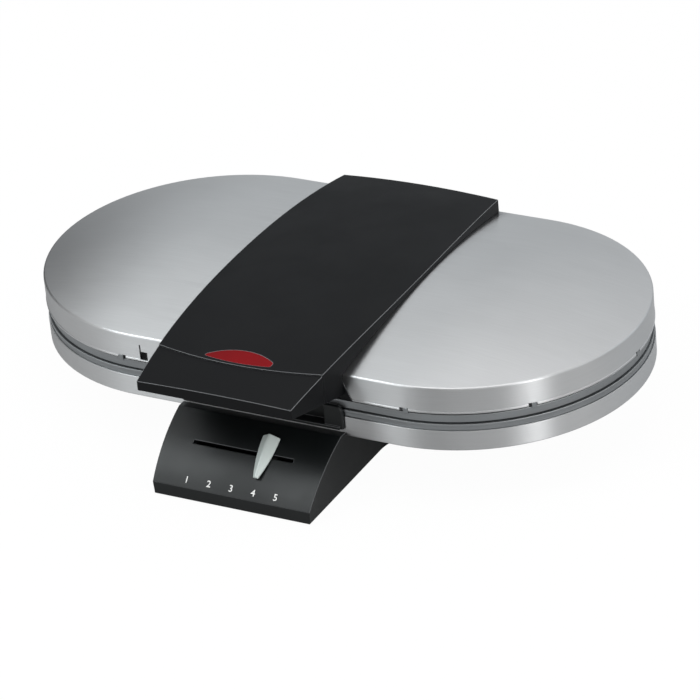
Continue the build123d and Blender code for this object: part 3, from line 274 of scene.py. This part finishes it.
def moulded(
    name, swatch, roughness, grain_mm, relief_mm, gloss=0.5, spread=0.05, edge_mm=0.5, edge_highlight=None
):
    """Plastic, rubber or ceramic with a fine grain, slow colour clouds and rounded edges.

    Its last argument is the colour of a painted highlight on its upper edges,
    a pale line that stands in for the light caught by their rounding.
    """
    material, tree, shader = surface(
        name, Roughness=roughness, IOR=1.5, Specular_IOR_Level=gloss
    )
    place = add(tree, "ShaderNodeTexCoord").outputs["Object"]
    grain = add(
        tree,
        "ShaderNodeTexNoise",
        {"Scale": 1 / (grain_mm * MM), "Detail": 2.0},
        {"Vector": place},
    ).outputs["Fac"]
    cloud = add(
        tree,
        "ShaderNodeTexNoise",
        {"Scale": 1 / PLASTIC_CLOUD, "Detail": 3.0},
        {"Vector": place},
    ).outputs["Fac"]
    tint = add(
        tree,
        "ShaderNodeMapRange",
        {**CLOUD_SPAN, "To Min": 1 - spread, "To Max": 1 + spread},
        {"Value": cloud},
    ).outputs["Result"]
    base = add(
        tree,
        "ShaderNodeVectorMath",
        {0: linear(swatch)[:3]},
        {"Scale": tint},
        operation="SCALE",
    )
    smoothest, roughest = roughness - CLOUD_ROUGHNESS, roughness + CLOUD_ROUGHNESS
    rough = add(
        tree,
        "ShaderNodeMapRange",
        {**CLOUD_SPAN, "To Min": smoothest, "To Max": roughest},
        {"Value": cloud},
    ).outputs["Result"]
    edge = add(tree, "ShaderNodeBevel", {"Radius": edge_mm * MM}, samples=8).outputs["Normal"]
    relief = add(
        tree,
        "ShaderNodeBump",
        {"Strength": GRAIN_RELIEF_SHARE, "Distance": relief_mm * MM},
        {"Height": grain, "Normal": edge},
    ).outputs["Normal"]
    colour = base.outputs["Vector"]
    # Painted highlight: upper edges, but not straight-up ones, are mixed towards a pale colour
    # that stands in for the light their rounding catches.
    if edge_highlight:
        facing = add(tree, "ShaderNodeNewGeometry").outputs["Normal"]
        turned = add(
            tree, "ShaderNodeVectorMath", None, {0: facing, 1: edge}, operation="DOT_PRODUCT"
        )
        sharp = add(
            tree, "ShaderNodeMapRange", TURNS_AWAY, {"Value": turned.outputs["Value"]}
        ).outputs["Result"]
        rise = add(tree, "ShaderNodeSeparateXYZ", None, {0: edge}).outputs["Z"]
        upper = add(tree, "ShaderNodeMapRange", LOOKS_UP, {"Value": rise}).outputs["Result"]
        not_top = add(
            tree, "ShaderNodeMapRange", NOT_STRAIGHT_UP, {"Value": rise}
        ).outputs["Result"]
        here = add(
            tree, "ShaderNodeMath", None, {0: upper, 1: not_top}, operation="MULTIPLY"
        ).outputs[0]
        highlight_mask = add(
            tree, "ShaderNodeMath", None, {0: sharp, 1: here}, operation="MULTIPLY"
        ).outputs[0]
        pale = add(
            tree,
            "ShaderNodeMix",
            {"B": linear(edge_highlight)[:3]},
            {"Factor": highlight_mask, "A": colour},
            data_type="VECTOR",
        )
        colour = pale.outputs["Result"]
    tree.links.new(colour, shader.inputs["Base Color"])
    tree.links.new(rough, shader.inputs["Roughness"])
    tree.links.new(relief, shader.inputs["Normal"])
    return material


# %% Plastic, rubber and ceramic pieces
# The band, the housing plastic and the knob get a pale painted highlight along their upper
# edges.
band_plastic = moulded(
    "satin moulded ABS", "#090A0C", 0.5, 0.35, 0.02, gloss=0.14, edge_mm=0.9, edge_highlight="#808284"
)
housing_plastic = moulded(
    "fine grained polypropylene", "#0C0F10", 0.4, 0.3, 0.02,
    gloss=0.33, edge_mm=0.8, edge_highlight="#606264",
)
inner_plastic = moulded("inner moulded polyamide", "#1A1A1B", 0.55, 0.5, 0.03, gloss=0.3)
knob_plastic = moulded(
    "grey lacquered knob", "#BFC8C5", 0.25, 0.6, 0.01, edge_mm=0.6, edge_highlight="#E4E8E6"
)
foot_rubber = moulded("foot rubber", "#101010", 0.8, 0.4, 0.05, gloss=0.3)
unglazed_ceramic = moulded("unglazed steatite", "#D8D3C6", 0.7, 0.4, 0.03)
slider_works = ["slider_rail", "slider_carriage", "regulator_ramp"]
wear(["top_band", "handle_grip", "front_frame"], band_plastic)
wear(["base_pedestal", "front_bridge", "hinge_bracket"], housing_plastic)
wear(["base_floor", *slider_works, "cord_gland", "lamp_holder"], inner_plastic)
wear(["slider_knob"], knob_plastic)
wear(["rubber_feet"], foot_rubber)
wear(["thermostat", "terminal_block", "thermal_fuse"], unglazed_ceramic)

# %% [markdown]
# ## Cast aluminium, sheet metal and small metal parts
# The plates are die-cast aluminium, tumbled to an even satin and slightly mottled. Heaters are
# steel tubes that have turned dark with heat, and the screws are zinc plated. The hinge's arms
# are pressed from thicker galvanised sheet, which is duller and greyer than the housing.

# %% Metals inside
# The plates' upper edges get a pale painted highlight.
cast_plate = moulded(
    "tumbled die-cast aluminium", "#8B8E90", 0.42, 0.7, 0.04, spread=0.08, edge_highlight="#B4B7B8"
)
cast_plate.node_tree.nodes["Principled BSDF"].inputs["Metallic"].default_value = 0.9
sheet_aluminium = brushed_steel("mill finished aluminium sheet", "#C9CBCC", 0.38, 0.6, 0.5)
oxidised_steel = brushed_steel("heat darkened steel tube", "#6B6459", 0.45, 0.8, 0.2)
zinc_steel = brushed_steel("zinc plated steel", "#B4B6B3", 0.3, 0.4, 0.2, edge_mm=0.2)
arm_steel = brushed_steel("pressed galvanised steel", "#96999A", 0.48, 0.8, 0.3)
plates = [f"{half}_plate_{end}" for half in ("lower", "upper") for end in ("left", "right")]
heaters = [f"{half}_heater_{end}" for half in ("lower", "upper") for end in ("left", "right")]
wear(plates, cast_plate)
wear(heaters, oxidised_steel)
wear(["lower_reflector", "upper_reflector", "thermostat_bracket"], sheet_aluminium)
wear(["hinge_arms"], arm_steel)
wear([name for name in nodes if name.endswith("screws")] + ["hinge_pins"], zinc_steel)

# %% [markdown]
# ## The signal lamp
# The window is dyed polycarbonate with a fine grained face. Its dye is so deep that it looks
# dark red while the lamp behind it is off. Its upper edges get a slightly brighter painted
# highlight. The face is matt, so the white studio leaves hardly any pink on it.

# %% Red window and lamp
# Its upper edges get a slightly brighter red painted highlight.
window_red = moulded(
    "dyed red polycarbonate", "#780910", 0.45, 0.4, 0.01,
    gloss=0.05, spread=0.2, edge_mm=0.7, edge_highlight="#A83038",
)
window_red.node_tree.nodes["Principled BSDF"].inputs["Transmission Weight"].default_value = 0.08
wear(["lamp_lens"], window_red)
lamp_sleeve = moulded("neon lamp sleeve", "#D8A070", 0.2, 0.5, 0.005)
wear(["signal_lamp"], lamp_sleeve)

# %% [markdown]
# ## The slider's knob
# A moulded knob has no sharp corners. Its surface is built anew from small cells and then
# relaxed, which rounds ridge, corners and tip by about a millimetre. So the light runs over
# the ridge and round the end of the pointer instead of stopping at a line.

# %% Rounded knob
CELL = 0.3 * MM
RELAX_SHARE, RELAX_ROUNDS = 0.5, 20
knob = nodes["slider_knob"]
cells = knob.modifiers.new("cells", "REMESH")
cells.mode, cells.voxel_size, cells.use_smooth_shade = "VOXEL", CELL, True
relax = knob.modifiers.new("relax", "SMOOTH")
relax.factor, relax.iterations = RELAX_SHARE, RELAX_ROUNDS
rounded = knob.evaluated_get(bpy.context.evaluated_depsgraph_get())
print("knob faces", len(knob.data.polygons), "->", len(rounded.data.polygons))

# %% [markdown]
# ## Cross recesses in the screw heads
# The screws that hold the floor plate and the lower plates are seen from below. Each head has
# a dark cross for the driver, three millimetres wide and drawn as two crossed bars. The heads
# are found in the frame's own meshes. These keep their faces apart at sharp edges, so doubled
# corners are merged first. Then each loose part is one screw, and the middle of its box, taken
# down to its lowest point, is the middle of its head.

# %% Cross recesses
RECESS_WIDTH, RECESS_BAR, RECESS_DEPTH = 3.0 * MM, 0.7 * MM, 0.1 * MM
SAME_CORNER = 0.001 * MM


def loose_parts(mesh):
    """Lists of vertex places, one for each separate solid in the mesh."""
    solid = bmesh.new()
    solid.from_mesh(mesh)
    bmesh.ops.remove_doubles(solid, verts=solid.verts, dist=SAME_CORNER)
    solid.verts.index_update()
    seen = set()
    found = []
    for start in solid.verts:
        if start.index in seen:
            continue
        seen.add(start.index)
        part, border = [], [start]
        while border:
            vertex = border.pop()
            part.append(vertex.co.copy())
            for other in (link.other_vert(vertex) for link in vertex.link_edges):
                if other.index not in seen:
                    seen.add(other.index)
                    border.append(other)
        found.append(part)
    solid.free()
    return found


crosses = bmesh.new()
for name in ("floor_screws", "lower_plate_screws"):
    for part in loose_parts(nodes[name].data):
        low, high = Vector(map(min, zip(*part))), Vector(map(max, zip(*part)))
        middle = Vector(((low.x + high.x) / 2, (low.y + high.y) / 2, low.z))
        for length, width in ((RECESS_WIDTH, RECESS_BAR), (RECESS_BAR, RECESS_WIDTH)):
            size = Matrix.Diagonal((length, width, RECESS_DEPTH, 1))
            bmesh.ops.create_cube(crosses, size=1.0, matrix=Matrix.Translation(middle) @ size)
cross_mesh = bpy.data.meshes.new("screw_crosses")
crosses.to_mesh(cross_mesh)
crosses.free()
# The crosses are painted shade: thin dark bars that stand in for the shadowed hollow of each
# recess.
recess_shade = moulded("shaded screw recess", "#141414", 0.7, 0.3, 0.01, gloss=0.2)
cross_mesh.materials.append(recess_shade)
screw_crosses = bpy.data.objects.new("screw_crosses", cross_mesh)
bpy.context.scene.collection.objects.link(screw_crosses)
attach(screw_crosses, "base")
print("cross recesses", len(cross_mesh.polygons) // 12)

# %% [markdown]
# ## The printed scale
# The five digits are pad printed in white on the sloped panel. Each one is a text turned into
# a thin mesh, laid on the panel where a straight look from above meets it, and tilted to the
# panel's own normal there.

# %% Digits 1 to 5
SCALE_PITCH = 15.3 * MM
SCALE_SHIFT = -1.1 * MM
DIGIT_HEIGHT = 4.1 * MM
HEIGHT_IN_FONT = 0.7
INK_THICKNESS, STROKE_SPREAD = 0.03 * MM, 0.1 * MM
PRINT_Y = HOUSING_MIDDLE_Y - 154.3 * MM
LOOK_FROM = 100 * MM
print_ink = moulded("white printing ink", "#EDEDEB", 0.5, 0.2, 0.002, spread=0.03)
digits = []
for mark in range(1, 6):
    letter = bpy.data.curves.new(f"digit_{mark}", "FONT")
    letter.body = str(mark)
    letter.align_x, letter.align_y = "CENTER", "CENTER"
    letter.size = DIGIT_HEIGHT / HEIGHT_IN_FONT
    letter.extrude = INK_THICKNESS
    letter.offset = STROKE_SPREAD
    carrier = bpy.data.objects.new(f"digit_text_{mark}", letter)
    bpy.context.scene.collection.objects.link(carrier)
    bpy.context.view_layer.update()
    flat_text = carrier.evaluated_get(bpy.context.evaluated_depsgraph_get())
    mesh = bpy.data.meshes.new_from_object(flat_text)
    bpy.data.objects.remove(carrier)
    above = Vector((SCALE_SHIFT + (mark - 3) * SCALE_PITCH, PRINT_Y, LOOK_FROM))
    _hit, point, normal, _face = nodes["base_pedestal"].ray_cast(above, (0, 0, -1))
    across = Vector((1, 0, 0))
    tilt = Matrix((across, normal.cross(across), normal)).transposed().to_4x4()
    mesh.transform(Matrix.Translation(point) @ tilt)
    mesh.materials.clear()
    mesh.materials.append(print_ink)
    digit = bpy.data.objects.new(f"digit_{mark}", mesh)
    bpy.context.scene.collection.objects.link(digit)
    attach(digit, "base")
    digits.append(digit)
print("digits", len(digits), "at height", round(point.z, 4))

# %% [markdown]
# ## Floor
# The floor is one wide square a hair under the feet.

# %% Floor
FLOOR_HALF, FLOOR_DROP = 6.0, 0.1 * MM
paper = bmesh.new()
bmesh.ops.create_grid(paper, x_segments=1, y_segments=1, size=FLOOR_HALF)
bmesh.ops.translate(paper, vec=(0, 0, -FLOOR_DROP), verts=paper.verts)
floor_mesh = bpy.data.meshes.new("studio_floor")
paper.to_mesh(floor_mesh)
paper.free()
floor = bpy.data.objects.new("studio_floor", floor_mesh)
bpy.context.scene.collection.objects.link(floor)
print("floor", 2 * FLOOR_HALF, "m wide")

# %% [markdown]
# ## White paper
# The floor's pale paper takes a faint shadow. To the camera, and less strongly to what mirrors
# it, it is the same white as the backdrop, through the Light Path node. It is clear from below,
# so that the underside can be looked at.

# %% White paper
PAPER_GREY, PAPER_GLOW = 0.42, 1.03
GLOW_TO_CAMERA, GLOW_TO_MIRRORS = 0.94, 0.12
floor_paper, paper_tree, paper_shader = surface("matt white paper", Roughness=0.9)
paper_shader.inputs["Base Color"].default_value = (PAPER_GREY, PAPER_GREY, PAPER_GREY, 1)
path = add(paper_tree, "ShaderNodeLightPath")
glow = add(paper_tree, "ShaderNodeEmission", {"Color": (1, 1, 1, 1), "Strength": PAPER_GLOW})
seen = add(
    paper_tree,
    "ShaderNodeMath",
    {1: GLOW_TO_MIRRORS},
    {0: path.outputs["Is Glossy Ray"]},
    operation="MULTIPLY",
)
share = add(
    paper_tree,
    "ShaderNodeMath",
    {1: GLOW_TO_CAMERA},
    {0: path.outputs["Is Camera Ray"], 2: seen.outputs[0]},
    operation="MULTIPLY_ADD",
)
blend = add(
    paper_tree,
    "ShaderNodeMixShader",
    None,
    {0: share.outputs[0], 1: paper_shader.outputs["BSDF"], 2: glow.outputs["Emission"]},
)
from_below = add(paper_tree, "ShaderNodeNewGeometry").outputs["Backfacing"]
clear = add(paper_tree, "ShaderNodeBsdfTransparent").outputs["BSDF"]
one_sided = add(
    paper_tree,
    "ShaderNodeMixShader",
    None,
    {0: from_below, 1: blend.outputs["Shader"], 2: clear},
)
paper_end = paper_tree.nodes["Material Output"].inputs["Surface"]
paper_tree.links.new(one_sided.outputs["Shader"], paper_end)
floor_mesh.materials.append(floor_paper)
print("paper nodes", len(paper_tree.nodes))

# %% [markdown]
# ## Studio walls
# Steel is only as interesting as the room around it. The world is a round studio: its walls
# carry paler and darker panels, given below by compass angle from the front (-Y). Behind the
# object they are a little cooler, which gives the dome its faint blue. The steel rim shows
# them as upright streaks, and the dome shows the dark panel at the rear left as a soft shade
# at its far end.

# %% Studio walls
WALL_PANELS = (
    (-180, 0.46), (-162, 0.40), (-150, 0.37), (-139, 0.38), (-131, 0.00), (-104, 0.04),
    (-94, 0.42), (-75, 0.52), (-60, 0.62), (-42, 0.66), (-34, 0.95), (-22, 0.95),
    (-12, 0.00), (4, 0.00), (9, 0.30), (30, 0.38), (44, 0.40), (54, 2.10),
    (64, 2.10), (71, 0.70), (85, 0.75), (91, 1.10), (100, 0.90), (140, 0.80),
    (180, 0.46),
)
COOL_BEYOND, COOL_RED, COOL_BLUE = 100, 0.95, 1.04
world = bpy.data.worlds.new("studio")
bpy.context.scene.world = world
world.use_nodes = True
sky = world.node_tree
way = add(sky, "ShaderNodeTexCoord").outputs["Generated"]
parts = add(sky, "ShaderNodeSeparateXYZ", None, {0: way}).outputs
toward_front = add(
    sky, "ShaderNodeMath", {1: -1.0}, {0: parts["Y"]}, operation="MULTIPLY"
).outputs[0]
compass = add(
    sky, "ShaderNodeMath", None, {0: parts["X"], 1: toward_front}, operation="ARCTAN2"
).outputs[0]
turn_share = add(
    sky, "ShaderNodeMapRange", {"From Min": -pi, "From Max": pi}, {"Value": compass}
).outputs["Result"]
walls = add(sky, "ShaderNodeValToRGB", None, {"Fac": turn_share})


def wall_colour(angle, value):
    """Neutral in front of the object and a little cool behind it."""
    red, blue = (COOL_RED, COOL_BLUE) if abs(angle) > COOL_BEYOND else (1.0, 1.0)
    return (red * value, value, blue * value, 1)


stops = walls.color_ramp.elements
for stop, panel in zip(stops, (WALL_PANELS[0], WALL_PANELS[-1])):
    stop.position, stop.color = (panel[0] + 180) / 360, wall_colour(*panel)
for panel in WALL_PANELS[1:-1]:
    stops.new((panel[0] + 180) / 360).color = wall_colour(*panel)
print("wall panels", len(WALL_PANELS))

# %% [markdown]
# ## Ceiling and backdrop
# The walls get a little brighter with height and run into a plain pale ceiling. The camera,
# and what it sees through a clear piece, meet plain white instead.

# %% Ceiling and backdrop
WALL_GAIN = {"From Min": 0.0, "From Max": 0.8, "To Min": 1.25, "To Max": 1.7}
CEILING_START = {"From Min": 0.5, "From Max": 0.85}
CEILING_GREY = 0.95
brighter = add(sky, "ShaderNodeMapRange", WALL_GAIN, {"Value": parts["Z"]}).outputs["Result"]
wall_light = add(
    sky,
    "ShaderNodeVectorMath",
    None,
    {0: walls.outputs["Color"], "Scale": brighter},
    operation="SCALE",
)
ceiling = add(sky, "ShaderNodeMapRange", CEILING_START, {"Value": parts["Z"]}).outputs["Result"]
room = add(
    sky,
    "ShaderNodeMix",
    {"B": (CEILING_GREY, CEILING_GREY, CEILING_GREY)},
    {"Factor": ceiling, "A": wall_light.outputs["Vector"]},
    data_type="VECTOR",
).outputs["Result"]
sky_path = add(sky, "ShaderNodeLightPath")
plain = add(
    sky,
    "ShaderNodeMath",
    None,
    {0: sky_path.outputs["Is Camera Ray"], 1: sky_path.outputs["Is Transmission Ray"]},
    operation="MAXIMUM",
)
seen_sky = add(
    sky,
    "ShaderNodeMix",
    {"B": (1, 1, 1)},
    {"Factor": plain.outputs[0], "A": room},
    data_type="VECTOR",
).outputs["Result"]
sky.links.new(seen_sky, sky.nodes["Background"].inputs["Color"])
print("studio nodes", len(sky.nodes))

# %% [markdown]
# ## Lamps
# The lamps are soft boxes. One hangs in front on the left, where the sloped panel and every
# rounded front edge mirror it, one above the lid, and a low one stands at the right.


# %% Lamps
def soft_box(name, radiance, size, angle, height, distance, swatch="#FFFFFF"):
    """Area lamp at a compass angle from the front and a height angle, facing the object."""
    lamp = bpy.data.lights.new(name, "AREA")
    lamp.color = linear(swatch)[:3]
    lamp.shape = "RECTANGLE"
    lamp.size, lamp.size_y = size
    lamp.energy = radiance * pi * size[0] * size[1]
    holder = bpy.data.objects.new(name, lamp)
    angle, height = radians(angle), radians(height)
    way = Vector((sin(angle) * cos(height), -cos(angle) * cos(height), sin(height)))
    holder.location = distance * way
    holder.rotation_euler = way.to_track_quat("Z", "Y").to_euler()
    bpy.context.scene.collection.objects.link(holder)
    print(name, round(lamp.energy, 1), "W")


soft_box("box_front_left", 6.4, (0.8, 0.5), -44, 48, 1.7, swatch="#F5FDFF")
soft_box("box_above", 2.0, (1.2, 0.8), 20, 82, 1.7)
soft_box("box_right", 4.2, (0.3, 1.0), 63, 20, 1.9)
